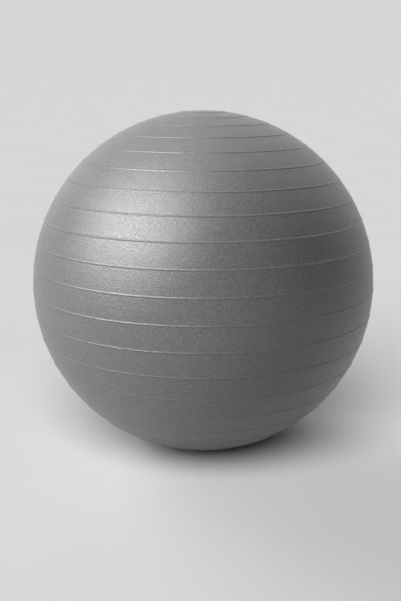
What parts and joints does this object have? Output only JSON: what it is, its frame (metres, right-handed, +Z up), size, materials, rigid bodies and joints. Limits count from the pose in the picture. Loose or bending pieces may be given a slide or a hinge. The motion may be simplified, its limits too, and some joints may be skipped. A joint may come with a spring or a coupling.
{
  "type": "exercise ball",
  "caption": "Inflated grey exercise ball with raised rings around it, a moulded-in valve seat at the back and a push-in air plug.",
  "frame": {"origin": "centre of the flat contact patch that the ball rests on", "axes": "+Z up, along the axis of the rings; the valve is on the +Y side, so -Y is the plain front"},
  "size_m": [0.6516, 0.6516, 0.6466],
  "materials": {
    "skin": "satin grey soft PVC with a fine pebble grain and a faint pearly speckle",
    "valve_seat": "smooth satin grey soft PVC",
    "air_plug": "white moulded polyethylene, half gloss"
  },
  "bodies": {
    "ball": {"ball_skin": "skin", "valve_seat": "valve_seat"},
    "plug": {"air_plug": "air_plug"}
  },
  "joints": [
    {"name": "plug_pull", "type": "slide", "parent": "ball", "child": "plug", "axis": [0, 0.9452, 0.3264], "range_m": [0, 0.04]}
  ]
}
